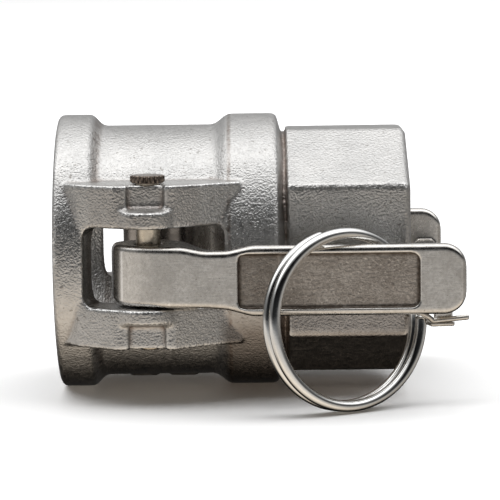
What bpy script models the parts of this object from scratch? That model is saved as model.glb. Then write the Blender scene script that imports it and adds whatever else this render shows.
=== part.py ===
"""Camlock coupling: a female quick coupling with two cam arms, pull rings and a threaded hex end.

The bore lies along X with the mouth at -X and the threaded end at +X.
Z is up. The arms sit on the -Y side (front) and the +Y side (rear) and turn on vertical pins.
Distances called "out" are measured from the bore axis towards the side an arm is on.
"""

from math import cos, pi, radians, sin, sqrt

import bmesh
import bpy
from mathutils import Vector

MM = 0.001

# Coupler body, along the bore
MOUTH_X = -34.8 * MM
RIM_END_X = -28.95 * MM
NECK_START_X = -27.1 * MM
NECK_END_X = -7.7 * MM
COLLAR_START_X = -5.5 * MM
COLLAR_END_X = 2.7 * MM
SHOULDER_X = 4.2 * MM
HEX_START_X = 4.6 * MM
HEX_END_X = 25.45 * MM
RIM_R = 23.8 * MM
NECK_R = 21.85 * MM
COLLAR_R = 23.7 * MM
HEX_FLAT = 19.4 * MM
HEX_SLANT = 20.7 * MM
HEX_CROWN = 21.2 * MM
TURN_STEPS = 72

# Bore, gasket seat and pipe thread
SOCKET_R = 18.6 * MM
SEAT_START_X = -4.6 * MM
SEAT_END_X = 2.2 * MM
SEAT_R = 20.15 * MM
WATERWAY_R = 13.2 * MM
THREAD_START_X = 7.0 * MM
THREAD_MINOR_R = 15.1 * MM
THREAD_DEPTH = 0.95 * MM
THREAD_PITCH = 2.209 * MM
THREAD_TURNS = 8
THREAD_TAPER = 1.0 / 32.0
GASKET_GAP = 0.3 * MM
GASKET_INNER_R = 13.6 * MM

# Lugs, arm slots and pivot pins
PIVOT_X = -18.65 * MM
PIVOT_OUT = 22.8 * MM
SLOT_TOP = 6.5 * MM
SLOT_BOTTOM = -6.9 * MM
SLOT_CORNER_R = 1.6 * MM
SLOT_START_X = -29.6 * MM
SLOT_END_X = -5.9 * MM
LUG_CENTRE_X = -19.0 * MM
LUG_TOP = 13.65 * MM
LUG_FOOT = 0.3 * MM
LUG_BOSS_R = 5.9 * MM
LUG_BOSS_TOP = 9.25 * MM
LEDGE_SLOPE = 0.18
LUG_NOTCH_HALF = 3.1 * MM
LUG_NOTCH_OUT = 25.3 * MM
PIN_R = 2.05 * MM
PIN_HOLE_R = 2.25 * MM
PIN_HEAD_R = 2.9 * MM
PIN_HEAD_BASE = 13.85 * MM
PIN_RIB_BASE = 14.05 * MM
PIN_HEAD_TOP = 15.15 * MM
PIN_TAIL = -14.1 * MM

# Cam arm
ARM_HOLE_R = 2.3 * MM
HANDLE_END_X = 34.0 * MM
HANDLE_OUTER = 29.4 * MM
HANDLE_INNER = 26.8 * MM
HANDLE_TOP = 3.77 * MM
HANDLE_BOTTOM = -8.0 * MM
HUB_TOP = 3.6 * MM
HUB_BOTTOM = -6.6 * MM
NECK_TOP = 2.9 * MM
NECK_BOTTOM = -6.9 * MM
EDGE_R = 1.0 * MM
END_CORNER = 3.8 * MM
HUB_CORNER_LOW = 1.7 * MM
HUB_CORNER_HIGH = 0.9 * MM
PANEL_START_X = -3.8 * MM
PANEL_STEP_X = 3.0 * MM
PANEL_END_X = 26.3 * MM
PANEL_TOP = 2.4 * MM
PANEL_BOTTOM = -6.75 * MM
PANEL_CORNER_R = 1.5 * MM
PANEL_DEPTH = 0.8 * MM
PANEL_STEP = 0.25 * MM

# Tab on the inner side of the handle end, holding the split pin
TAB_START_X = 29.2 * MM
TAB_END_X = 32.7 * MM
TAB_FOOT_END_X = 32.1 * MM
TAB_TOP = -2.0 * MM
TAB_BOTTOM = -10.7 * MM
TAB_INNER = 18.8 * MM
TAB_FACE = 23.3 * MM

# Pull ring: a two turn split ring
RING_R = 14.23 * MM
RING_WIRE = 1.9 * MM
RING_PITCH = 1.96 * MM
RING_CENTRE_X = 13.98 * MM
RING_CENTRE_OUT = 29.4 * MM
RING_CENTRE_Z = -8.6 * MM
RING_TURN = radians(30.0)
RING_LEAN = radians(5.8)
RING_SIDES = 10
RING_STEPS = 60

# Split pin that ties the ring to the tab
COTTER_WIRE = 0.9 * MM
COTTER_LONG_X = 34.8 * MM
COTTER_SHORT_X = 32.45 * MM
COTTER_FRONT_OUT = 23.95 * MM
COTTER_REAR_OUT = 22.95 * MM


# ---------------------------------------------------------------- helpers

def clear_scene():
    for thing in list(bpy.data.objects):
        bpy.data.objects.remove(thing, do_unlink=True)


def make_material(name, colour, roughness, metallic):
    made = bpy.data.materials.new(name)
    made.use_nodes = True
    shader = made.node_tree.nodes["Principled BSDF"]
    shader.inputs["Base Color"].default_value = (*colour, 1.0)
    shader.inputs["Roughness"].default_value = roughness
    shader.inputs["Metallic"].default_value = metallic
    return made


def make_object(name, points, faces, origin=(0.0, 0.0, 0.0), material=None, smooth=True):
    """A closed mesh whose points are given in world metres, with its origin moved to a joint."""
    start = Vector(origin)
    mesh = bpy.data.meshes.new(name)
    mesh.from_pydata([Vector(p) - start for p in points], [], faces)
    work = bmesh.new()
    work.from_mesh(mesh)
    bmesh.ops.recalc_face_normals(work, faces=work.faces)
    work.to_mesh(mesh)
    work.free()
    made = bpy.data.objects.new(name, mesh)
    made.location = start
    bpy.context.scene.collection.objects.link(made)
    if material is not None:
        mesh.materials.append(material)
    if smooth:
        mesh.shade_smooth()
    return made


def as_cutter(thing):
    thing.hide_render = True
    thing.display_type = "WIRE"
    return thing


def combine(target, other, operation):
    as_cutter(other)
    step = target.modifiers.new(operation.lower() + "_" + other.name, "BOOLEAN")
    step.operation = operation
    step.solver = "EXACT"
    step.object = other


def islands(name, pieces):
    """Several closed pieces in one mesh, used as one boolean operand."""
    points = []
    faces = []
    for piece_points, piece_faces in pieces:
        base = len(points)
        points.extend(piece_points)
        faces.extend([[base + i for i in face] for face in piece_faces])
    return make_object(name, points, faces, smooth=False)


def prism_data(outline, low, high):
    """Extrude an XY outline between two heights."""
    count = len(outline)
    points = [(x, y, low) for x, y in outline] + [(x, y, high) for x, y in outline]
    faces = [list(range(count)), list(range(count, 2 * count))]
    for i in range(count):
        j = (i + 1) % count
        faces.append([i, j, count + j, count + i])
    return points, faces


def side_prism_data(outline, near, far):
    """Extrude an XZ outline between two Y positions."""
    count = len(outline)
    points = [(x, near, z) for x, z in outline] + [(x, far, z) for x, z in outline]
    faces = [list(range(count)), list(range(count, 2 * count))]
    for i in range(count):
        j = (i + 1) % count
        faces.append([i, j, count + j, count + i])
    return points, faces


def circle_outline(centre_x, centre_y, radius, steps):
    return [
        (centre_x + radius * cos(2 * pi * i / steps), centre_y + radius * sin(2 * pi * i / steps))
        for i in range(steps)
    ]


def rounded_outline(low_a, high_a, low_b, high_b, radius, steps=5):
    """A rectangle with rounded corners, as a list of points."""
    outline = []
    corners = (
        (high_a - radius, high_b - radius, 0.0),
        (low_a + radius, high_b - radius, 0.5 * pi),
        (low_a + radius, low_b + radius, pi),
        (high_a - radius, low_b + radius, 1.5 * pi),
    )
    for a, b, start in corners:
        for i in range(steps + 1):
            turn = start + 0.5 * pi * i / steps
            outline.append((a + radius * cos(turn), b + radius * sin(turn)))
    return outline


def hex_radius(turn, inset):
    """Radius of the hex end, drawn in by an inset: flats face +Y and -Y, the top and bottom are cut."""
    faces = [(0.0, HEX_FLAT), (180.0, HEX_FLAT), (90.0, HEX_CROWN), (270.0, HEX_CROWN)]
    faces += [(normal, HEX_SLANT) for normal in (60.0, 120.0, 240.0, 300.0)]
    radius = 2.0 * HEX_FLAT
    for normal, distance in faces:
        facing = cos(turn - radians(normal))
        if facing > 0.5:
            radius = min(radius, (distance - inset) / facing)
    return radius


def turned_data(profile, steps):
    """Turn (x, radius, is_hex) rows about the bore axis, with end discs; a hex row gives its inset."""
    points = []
    for x, radius, is_hex in profile:
        for i in range(steps):
            turn = 2 * pi * i / steps
            r = hex_radius(turn, radius) if is_hex else radius
            points.append((x, r * cos(turn), r * sin(turn)))
    faces = [list(range(steps))]
    for k in range(len(profile) - 1):
        for i in range(steps):
            j = (i + 1) % steps
            faces.append([k * steps + i, k * steps + j, (k + 1) * steps + j, (k + 1) * steps + i])
    last = (len(profile) - 1) * steps
    faces.append([last + i for i in range(steps)])
    return points, faces


def turned_ring_data(profile, steps):
    """Turn a closed profile of (x, radius) about the bore axis."""
    points = []
    for x, radius in profile:
        for i in range(steps):
            turn = 2 * pi * i / steps
            points.append((x, radius * cos(turn), radius * sin(turn)))
    faces = []
    rows = len(profile)
    for k in range(rows):
        m = (k + 1) % rows
        for i in range(steps):
            j = (i + 1) % steps
            faces.append([k * steps + i, k * steps + j, m * steps + j, m * steps + i])
    return points, faces


def swept_data(path, radius, sides):
    """A round wire along a list of points, with flat ends and no twist."""
    centres = [Vector(p) for p in path]
    count = len(centres)
    tangents = []
    for i in range(count):
        before = centres[max(i - 1, 0)]
        after = centres[min(i + 1, count - 1)]
        tangents.append((after - before).normalized())
    across = tangents[0].orthogonal().normalized()
    points = []
    for centre, tangent in zip(centres, tangents):
        across = (across - tangent * across.dot(tangent)).normalized()
        other = tangent.cross(across)
        for i in range(sides):
            turn = 2 * pi * i / sides
            points.append(tuple(centre + radius * (cos(turn) * across + sin(turn) * other)))
    faces = [list(range(sides))]
    for k in range(count - 1):
        for i in range(sides):
            j = (i + 1) % sides
            faces.append([k * sides + i, k * sides + j, (k + 1) * sides + j, (k + 1) * sides + i])
    faces.append([(count - 1) * sides + i for i in range(sides)])
    return points, faces


def smooth_step(value):
    value = min(max(value, 0.0), 1.0)
    return value * value * (3.0 - 2.0 * value)


def between(table, x):
    """Read a smooth curve given as (x, value) pairs."""
    if x <= table[0][0]:
        return table[0][1]
    for (x0, v0), (x1, v1) in zip(table, table[1:]):
        if x <= x1:
            return v0 + (v1 - v0) * (x - x0) / (x1 - x0)
    return table[-1][1]


# ---------------------------------------------------------------- coupler body

def outer_profile():
    """Outside of the body from the mouth to the threaded end, corners eased by small facets."""
    ease = 0.8 * MM
    return [
        (MOUTH_X, RIM_R - ease, False),
        (MOUTH_X + 0.3 * ease, RIM_R - 0.3 * ease, False),
        (MOUTH_X + ease, RIM_R, False),
        (RIM_END_X - 0.3 * MM, RIM_R, False),
        (RIM_END_X + 0.25 * MM, RIM_R - 0.25 * MM, False),
        (NECK_START_X - 0.3 * MM, NECK_R + 0.3 * MM, False),
        (NECK_START_X + 0.5 * MM, NECK_R, False),
        (NECK_END_X - 0.5 * MM, NECK_R, False),
        (NECK_END_X + 0.3 * MM, NECK_R + 0.25 * MM, False),
        (COLLAR_START_X - 0.3 * MM, COLLAR_R - 0.3 * MM, False),
        (COLLAR_START_X + 0.5 * MM, COLLAR_R, False),
        (COLLAR_END_X - 0.3 * MM, COLLAR_R, False),
        (COLLAR_END_X + 0.4 * MM, COLLAR_R - 0.35 * MM, False),
        (SHOULDER_X, HEX_FLAT - 0.1 * MM, False),
        (HEX_START_X, HEX_FLAT - 0.1 * MM, False),
        (HEX_START_X + 0.15 * MM, 0.05 * MM, True),
        (HEX_END_X - 0.8 * MM, 0.0, True),
        (HEX_END_X, 0.8 * MM, True),
    ]


def bore_profile():
    """Inside of the body: socket, gasket seat, waterway and tapered pipe thread."""
    past = 1.0 * MM
    profile = [
        (MOUTH_X - past, SOCKET_R + 0.9 * MM + past, False),
        (MOUTH_X + 0.9 * MM, SOCKET_R, False),
        (SEAT_START_X, SOCKET_R, False),
        (SEAT_START_X, SEAT_R, False),
        (SEAT_END_X, SEAT_R, False),
        (SEAT_END_X, WATERWAY_R, False),
        (THREAD_START_X - 1.2 * MM, WATERWAY_R, False),
        (THREAD_START_X - 0.2 * MM, THREAD_MINOR_R, False),
    ]
    for i in range(THREAD_TURNS):
        x = THREAD_START_X + i * THREAD_PITCH
        minor = THREAD_MINOR_R + THREAD_TAPER * (x - THREAD_START_X)
        profile.append((x, minor, False))
        profile.append((x + 0.5 * THREAD_PITCH, minor + THREAD_DEPTH, False))
    x = HEX_END_X - 0.9 * MM
    profile.append((x, THREAD_MINOR_R + 0.5 * MM, False))
    profile.append((HEX_END_X + past, THREAD_MINOR_R + 1.5 * MM + past, False))
    return profile


def lug_outline(side):
    """Plan of a lug: sloped flanks rising from the rim and the collar to a flat front."""
    shape = [
        (-33.3, 17.0), (-33.3, 19.5), (-30.6, 22.8), (-24.7, 26.2), (-24.0, 26.5), (-14.6, 26.5),
        (-13.9, 26.2), (-6.0, 21.8), (-3.2, 20.4), (-3.2, 17.0),
    ]
    return [(x * MM, side * out * MM) for x, out in shape]


def lug_pieces(side):
    """Upper and lower lug; the lower one is a little deeper along its front."""
    outline = lug_outline(side)
    upper = prism_data(outline, 5.5 * MM, LUG_TOP)
    lower = prism_data(outline, -LUG_TOP, -5.5 * MM)
    for i, (x, y) in enumerate(outline):
        drop = LUG_FOOT if side * y > 26.0 * MM else 0.0
        lower[0][i] = (x, y, -LUG_TOP - drop)
    return [upper, lower]


def ledge_height(out):
    """Height of the sloped ledge on top of a boss, at a distance out from the bore axis."""
    return LUG_BOSS_TOP + LEDGE_SLOPE * (PIVOT_OUT + LUG_BOSS_R - out)


def boss_pieces(side):
    """Round boss about each pin hole, its outer face sloped up towards the lug."""
    pieces = []
    for up in (-1.0, 1.0):
        outline = circle_outline(LUG_CENTRE_X, side * PIVOT_OUT, LUG_BOSS_R, 32)
        points, faces = prism_data(outline, up * 5.5 * MM, 0.0)
        count = len(outline)
        for i, (x, y) in enumerate(outline):
            points[count + i] = (x, y, up * ledge_height(side * y))
        pieces.append((points, faces))
    return pieces


def slot_piece(side):
    """The arm window: corners rounded, and on the mouth side wider at the outside."""
    rows = (
        (14.0 * MM, SLOT_START_X + 1.4 * MM), (SOCKET_R - 0.5 * MM, SLOT_START_X + 1.4 * MM),
        (NECK_R, SLOT_START_X), (35.0 * MM, SLOT_START_X - 0.4 * MM),
    )
    points = []
    for out, start in rows:
        outline = rounded_outline(start, SLOT_END_X, SLOT_BOTTOM, SLOT_TOP, SLOT_CORNER_R, 4)
        points.extend([(x, side * out, z) for x, z in outline])
    count = len(outline)
    faces = [list(range(count)), [(len(rows) - 1) * count + i for i in range(count)]]
    for k in range(len(rows) - 1):
        for i in range(count):
            j = (i + 1) % count
            faces.append([k * count + i, k * count + j, (k + 1) * count + j, (k + 1) * count + i])
    return points, faces


def notch_pieces(side):
    """Shallow relief in the front of each lug, down to the ledge of its boss."""
    far = 31.0 * MM
    step = 0.02 * MM
    pieces = []
    for up in (-1.0, 1.0):
        shape = [
            (LUG_CENTRE_X - LUG_NOTCH_HALF, side * LUG_NOTCH_OUT),
            (LUG_CENTRE_X + LUG_NOTCH_HALF, side * LUG_NOTCH_OUT),
            (LUG_CENTRE_X + LUG_NOTCH_HALF, side * far),
            (LUG_CENTRE_X - LUG_NOTCH_HALF, side * far),
        ]
        points, faces = prism_data(shape, 0.0, up * (LUG_TOP + 1.0 * MM))
        for i, (x, y) in enumerate(shape):
            points[i] = (x, y, up * (ledge_height(side * y) + step))
        pieces.append((points, faces))
    return pieces


def pad_pieces():
    """Two low blank pads on the underside of the neck."""
    pieces = []
    for centre in (-20.5, -13.5):
        shape = [
            ((centre + a * 2.3) * MM, b * 2.3 * MM)
            for a, b in ((-1, -1), (1, -1), (1, 1), (-1, 1))
        ]
        pieces.append(prism_data(shape, -NECK_R - 0.35 * MM, -NECK_R + 1.5 * MM))
    return pieces


def build_body(material):
    points, faces = turned_data(outer_profile(), TURN_STEPS)
    body = make_object("coupler_body", points, faces, material=material)
    lugs = islands("lug_blocks", lug_pieces(-1.0) + lug_pieces(1.0))
    combine(body, lugs, "UNION")
    bosses = islands("lug_bosses", boss_pieces(-1.0) + boss_pieces(1.0))
    combine(body, bosses, "UNION")
    pads = islands("foot_pads", pad_pieces())
    combine(body, pads, "UNION")
    bore_points, bore_faces = turned_data(bore_profile(), TURN_STEPS)
    combine(body, make_object("bore_cutter", bore_points, bore_faces), "DIFFERENCE")
    combine(body, islands("slot_cutter", [slot_piece(-1.0), slot_piece(1.0)]), "DIFFERENCE")
    combine(body, islands("notch_cutter", notch_pieces(-1.0) + notch_pieces(1.0)), "DIFFERENCE")
    holes = [
        prism_data(circle_outline(PIVOT_X, side * PIVOT_OUT, PIN_HOLE_R, 24), -20.0 * MM, 20.0 * MM)
        for side in (-1.0, 1.0)
    ]
    combine(body, islands("pin_hole_cutter", holes), "DIFFERENCE")
    return body


def build_gasket(material):
    """Soft ring in the seat, with eased corners."""
    low = SEAT_START_X + GASKET_GAP
    high = SEAT_END_X - GASKET_GAP
    outer = SEAT_R - GASKET_GAP
    inner = GASKET_INNER_R
    ease = 0.6 * MM
    profile = [
        (low, inner + ease), (low, outer - ease), (low + ease, outer), (high - ease, outer),
        (high, outer - ease), (high, inner + ease), (high - ease, inner), (low + ease, inner),
    ]
    points, faces = turned_ring_data(profile, TURN_STEPS)
    return make_object("gasket", points, faces, material=material)


# ---------------------------------------------------------------- pivot pin

def build_pin(name, side, material):
    """Plain shank with a ribbed head resting on the upper lug."""
    steps = 44
    rows = [
        (PIN_TAIL, PIN_R - 0.3 * MM, 0.0),
        (PIN_TAIL + 0.3 * MM, PIN_R, 0.0),
        (PIN_HEAD_BASE, PIN_R, 0.0),
        (PIN_HEAD_BASE, PIN_HEAD_R - 0.15 * MM, 0.0),
        (PIN_RIB_BASE, PIN_HEAD_R - 0.15 * MM, 0.0),
        (PIN_RIB_BASE + 0.05 * MM, PIN_HEAD_R, 0.22 * MM),
        (PIN_HEAD_TOP - 0.2 * MM, PIN_HEAD_R, 0.22 * MM),
        (PIN_HEAD_TOP, PIN_HEAD_R - 0.25 * MM, 0.05 * MM),
    ]
    points = []
    for z, radius, rib in rows:
        for i in range(steps):
            turn = 2 * pi * i / steps
            r = radius - rib * (i % 2)
            points.append((PIVOT_X + r * cos(turn), side * PIVOT_OUT + r * sin(turn), z))
    faces = [list(range(steps))]
    for k in range(len(rows) - 1):
        for i in range(steps):
            j = (i + 1) % steps
            faces.append([k * steps + i, k * steps + j, (k + 1) * steps + j, (k + 1) * steps + i])
    faces.append([(len(rows) - 1) * steps + i for i in range(steps)])
    return make_object(name, points, faces, (PIVOT_X, side * PIVOT_OUT, 0.0), material)


# ---------------------------------------------------------------- cam arm

# Outer and inner edge of the arm in plan, as (x, distance out) in millimetres.
ARM_OUTER = (
    (-24.9, 21.6), (-24.6, 22.9), (-23.8, 24.3), (-22.4, 25.6), (-20.5, 26.8), (-18.0, 27.8),
    (-15.0, 28.6), (-11.5, 29.2), (-8.0, HANDLE_OUTER / MM),
)
ARM_INNER = (
    (-24.9, 19.6), (-24.6, 18.8), (-23.8, 17.6), (-22.4, 16.4), (-20.5, 15.5), (-18.5, 15.3),
    (-16.5, 15.8), (-14.4, 17.1), (-12.6, 19.0), (-11.2, 21.3), (-10.0, 23.6), (-8.6, 25.4),
    (-6.8, 26.4), (-4.5, HANDLE_INNER / MM),
)
# Upper and lower edge of the arm seen from the side, as (x, z) in millimetres.
ARM_TOP = (
    (-13.0, HUB_TOP / MM), (-9.5, NECK_TOP / MM), (-5.5, NECK_TOP / MM), (-1.5, HANDLE_TOP / MM),
)
ARM_BOTTOM = (
    (-9.0, HUB_BOTTOM / MM), (-5.5, NECK_BOTTOM / MM), (-1.5, HANDLE_BOTTOM / MM),
)
ARM_STATIONS = (
    -24.9, -24.6, -23.8, -22.4, -20.5, -18.5, -16.5, -14.4, -12.6, -11.2, -10.0, -8.6, -6.8,
    -5.5, -4.5, -3.4, -2.4, -1.5, 0.0, 30.2, 31.6, 32.6, 33.3, 33.7, HANDLE_END_X / MM,
)


def corner_drop(radius, past):
    """How far a round corner has fallen away, at a distance past its start."""
    past = min(max(past, 0.0), radius)
    return radius - sqrt(radius ** 2 - past ** 2)


def arm_section(x):
    """Edges of the arm at one station: inner, outer, bottom, top, in millimetres."""
    corner = END_CORNER / MM
    ease = EDGE_R / MM - 0.1
    inner = between(ARM_INNER, x)
    outer = between(ARM_OUTER, x)
    low = between(ARM_BOTTOM, x)
    high = between(ARM_TOP, x)
    before = ARM_STATIONS[0] - x
    low += corner_drop(HUB_CORNER_LOW / MM, HUB_CORNER_LOW / MM + before)
    high -= corner_drop(HUB_CORNER_HIGH / MM, HUB_CORNER_HIGH / MM + before)
    past = x - (HANDLE_END_X / MM - corner)
    if past > 0.0:
        drop = corner_drop(corner, past)
        low += drop
        high -= drop
        thin = ease * (max(past - (corner - ease), 0.0) / ease) ** 2
        inner += thin
        outer -= thin
    return inner, outer, low, high


def arm_data(side):
    """The arm as one bar whose rounded section follows the plan and side outlines."""
    corner_steps = 3
    points = []
    for x in ARM_STATIONS:
        inner, outer, low, high = arm_section(x)
        radius = min(EDGE_R / MM, 0.45 * (outer - inner), 0.45 * (high - low))
        for out, z in rounded_outline(inner, outer, low, high, radius, corner_steps):
            points.append((x * MM, side * out * MM, z * MM))
    ring = 4 * (corner_steps + 1)
    faces = [list(range(ring))]
    for k in range(len(ARM_STATIONS) - 1):
        for i in range(ring):
            j = (i + 1) % ring
            faces.append([k * ring + i, k * ring + j, (k + 1) * ring + j, (k + 1) * ring + i])
    faces.append([(len(ARM_STATIONS) - 1) * ring + i for i in range(ring)])
    return points, faces


def panel_pieces(side):
    """Recessed panel on the outer face, a little deeper near the pivot."""
    past = side * (HANDLE_OUTER + 1.0 * MM)
    floor = side * (HANDLE_OUTER - PANEL_DEPTH)
    deep = side * (HANDLE_OUTER - PANEL_DEPTH - PANEL_STEP)
    main = rounded_outline(PANEL_START_X, PANEL_END_X, PANEL_BOTTOM, PANEL_TOP, PANEL_CORNER_R, 4)
    inset = 0.15 * MM
    lower = rounded_outline(
        PANEL_START_X + inset, PANEL_STEP_X, PANEL_BOTTOM + inset, PANEL_TOP - inset, 0.6 * MM, 3
    )
    return side_prism_data(main, floor, past), side_prism_data(lower, deep, past)


def tab_upper(side):
    """Part of the tab that stands inwards from the handle."""
    shape = [
        (TAB_START_X, -7.3 * MM), (TAB_END_X, -7.3 * MM), (TAB_END_X, TAB_TOP - 0.5 * MM),
        (TAB_END_X - 0.5 * MM, TAB_TOP), (TAB_START_X + 0.5 * MM, TAB_TOP),
        (TAB_START_X, TAB_TOP - 0.5 * MM),
    ]
    return side_prism_data(shape, side * TAB_INNER, side * (HANDLE_INNER + 0.8 * MM))


def tab_foot(side):
    """Part of the tab below the handle, stepped back to carry the split pin."""
    end = TAB_FOOT_END_X
    shape = [
        (TAB_START_X, -6.3 * MM), (TAB_START_X, TAB_BOTTOM + 0.4 * MM),
        (TAB_START_X + 0.4 * MM, TAB_BOTTOM), (end - 0.7 * MM, TAB_BOTTOM),
        (end, TAB_BOTTOM + 1.0 * MM), (end, -6.3 * MM),
    ]
    return side_prism_data(shape, side * (TAB_INNER + 0.2 * MM), side * TAB_FACE)


def build_arm(name, side, material):
    points, faces = arm_data(side)
    arm = make_object(name, points, faces, (PIVOT_X, side * PIVOT_OUT, 0.0), material)
    tag = name.rsplit("_", 1)[1]
    combine(arm, make_object("tab_upper_" + tag, *tab_upper(side), smooth=False), "UNION")
    combine(arm, make_object("tab_foot_" + tag, *tab_foot(side), smooth=False), "UNION")
    main, deep = panel_pieces(side)
    combine(arm, make_object("panel_" + tag, *main, smooth=False), "DIFFERENCE")
    combine(arm, make_object("panel_deep_" + tag, *deep, smooth=False), "DIFFERENCE")
    hole = prism_data(circle_outline(PIVOT_X, side * PIVOT_OUT, ARM_HOLE_R, 24), -12.0 * MM, 9.0 * MM)
    combine(arm, make_object("arm_hole_" + tag, *hole), "DIFFERENCE")
    groove = swept_data(cotter_groove(side), 0.5 * COTTER_WIRE + 0.16 * MM, 10)
    combine(arm, make_object("groove_" + tag, *groove), "DIFFERENCE")
    return arm


# ---------------------------------------------------------------- pull ring

def ring_frame(side):
    """Centre of the pull ring, its level direction, its upward direction and its axis."""
    across = Vector((cos(RING_TURN), -side * sin(RING_TURN), 0.0))
    facing = Vector((sin(RING_TURN), side * cos(RING_TURN), 0.0))
    up = Vector((0.0, 0.0, cos(RING_LEAN))) - facing * sin(RING_LEAN)
    axis = facing * cos(RING_LEAN) + Vector((0.0, 0.0, sin(RING_LEAN)))
    centre = Vector((RING_CENTRE_X, side * RING_CENTRE_OUT, RING_CENTRE_Z))
    return centre, across, up, axis


def ring_path(side):
    """Two flat turns, joined by one strand that crosses between the layers at the top."""
    centre, across, up, axis = ring_frame(side)
    crossing = radians(100.0)
    start = radians(100.0)
    total = 4 * pi - crossing - radians(2.0)
    count = int(2 * RING_STEPS * total / (4 * pi))
    path = []
    for i in range(count + 1):
        run = radians(1.0) + total * i / count
        rise = smooth_step((run - (2 * pi - crossing)) / crossing)
        shift = RING_PITCH * (rise - 0.5)
        turn = start + run
        path.append(centre + RING_R * (cos(turn) * across + sin(turn) * up) + shift * axis)
    return path


def build_ring(name, side, material):
    centre = ring_frame(side)[0]
    points, faces = swept_data(ring_path(side), 0.5 * RING_WIRE, RING_SIDES)
    return make_object(name, points, faces, centre, material)


# ---------------------------------------------------------------- split pin

def eased_path(corners, rounds):
    """Round the corners of a path by cutting each one twice over, keeping its two ends."""
    path = [Vector(p) for p in corners]
    for _ in range(rounds):
        cut = [path[0]]
        for a, b in zip(path, path[1:]):
            cut.append(0.75 * a + 0.25 * b)
            cut.append(0.25 * a + 0.75 * b)
        cut.append(path[-1])
        path = cut
    return path


def cotter_legs(side):
    """Lines of the two legs, each from just before the tab to its tip."""
    start = TAB_START_X - 0.3 * MM
    front = side * COTTER_FRONT_OUT
    rear = side * COTTER_REAR_OUT
    long_leg = (Vector((start, front, -9.75 * MM)), Vector((COTTER_LONG_X, front, -9.2 * MM)))
    short_leg = (Vector((start, rear, -10.47 * MM)), Vector((COTTER_SHORT_X, rear, -10.38 * MM)))
    return long_leg, short_leg


def cotter_path(side):
    """Long front leg, an eye that rises round both turns of the ring, and a short rear leg."""
    centre, across, up, axis = ring_frame(side)
    middle = centre + RING_R * across
    wide = 0.5 * (RING_PITCH + RING_WIRE) + 0.22 * MM + 0.5 * COTTER_WIRE
    deep = 0.5 * RING_WIRE + 0.22 * MM + 0.5 * COTTER_WIRE
    long_leg, short_leg = cotter_legs(side)
    corners = [long_leg[1], long_leg[0], long_leg[0] - Vector((0.25 * MM, 0.0, 0.0))]
    for r, a, z in (
        (0.3 * deep, 1.04 * wide, -9.1), (-deep, wide, -8.0), (-deep, -wide, -8.6),
        (deep, -wide, -9.9),
    ):
        spot = middle + r * across + a * axis
        corners.append(Vector((spot.x, spot.y, z * MM)))
    corners.append(short_leg[0] - Vector((0.25 * MM, 0.0, 0.0)))
    corners.extend(short_leg)
    return eased_path(corners, 2)


def cotter_groove(side):
    """Line of the short leg where it lies in the tab, run past both of the tab's sides."""
    start, end = cotter_legs(side)[1]
    run = (end - start).normalized()
    return [start - 1.5 * MM * run, end + 3.0 * MM * run]


def build_cotter(name, side, material):
    points, faces = swept_data(cotter_path(side), 0.5 * COTTER_WIRE, 8)
    return make_object(name, points, faces, material=material)


# ---------------------------------------------------------------- assembly

def main():
    clear_scene()
    cast = make_material("cast_steel", (0.42, 0.42, 0.41), 0.48, 1.0)
    arm_steel = make_material("arm_steel", (0.52, 0.51, 0.50), 0.36, 1.0)
    wire_steel = make_material("ring_wire", (0.66, 0.66, 0.66), 0.16, 1.0)
    pin_steel = make_material("pin_steel", (0.34, 0.31, 0.28), 0.42, 1.0)
    cotter_steel = make_material("cotter_wire", (0.50, 0.48, 0.45), 0.34, 1.0)
    rubber = make_material("gasket_rubber", (0.02, 0.02, 0.02), 0.70, 0.0)
    build_body(cast)
    build_gasket(rubber)
    for side, tag in ((-1.0, "front"), (1.0, "rear")):
        build_pin("pivot_pin_" + tag, side, pin_steel)
        build_arm("cam_arm_" + tag, side, arm_steel)
        build_ring("pull_ring_" + tag, side, wire_steel)
        build_cotter("split_pin_" + tag, side, cotter_steel)


main()
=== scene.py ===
"""Finished look of a camlock coupling: a cast body with two hinged cam arms and pull rings."""

from math import cos, pi, radians, sin, sqrt

import bmesh
import bpy
import numpy as np
from mathutils import Matrix, Vector


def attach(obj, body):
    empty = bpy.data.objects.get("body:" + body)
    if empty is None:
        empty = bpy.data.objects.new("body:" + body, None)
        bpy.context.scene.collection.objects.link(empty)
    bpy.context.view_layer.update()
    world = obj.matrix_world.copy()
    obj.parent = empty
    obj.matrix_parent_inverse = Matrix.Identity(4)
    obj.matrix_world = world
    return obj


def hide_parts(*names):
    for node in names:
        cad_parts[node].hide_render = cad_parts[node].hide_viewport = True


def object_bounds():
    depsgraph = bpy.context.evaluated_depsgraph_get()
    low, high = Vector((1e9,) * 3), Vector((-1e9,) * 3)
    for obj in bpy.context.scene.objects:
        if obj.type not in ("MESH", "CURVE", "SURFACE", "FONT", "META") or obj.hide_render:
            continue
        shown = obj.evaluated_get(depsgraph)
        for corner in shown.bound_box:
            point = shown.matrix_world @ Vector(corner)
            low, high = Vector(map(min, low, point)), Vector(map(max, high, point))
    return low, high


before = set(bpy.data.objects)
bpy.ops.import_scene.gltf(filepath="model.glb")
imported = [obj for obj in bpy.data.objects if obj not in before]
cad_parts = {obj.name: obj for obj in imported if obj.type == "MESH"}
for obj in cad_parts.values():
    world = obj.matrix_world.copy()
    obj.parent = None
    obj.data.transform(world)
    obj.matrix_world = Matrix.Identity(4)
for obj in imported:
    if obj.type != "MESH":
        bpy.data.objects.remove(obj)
cad_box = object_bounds()

MM = 0.001

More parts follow.
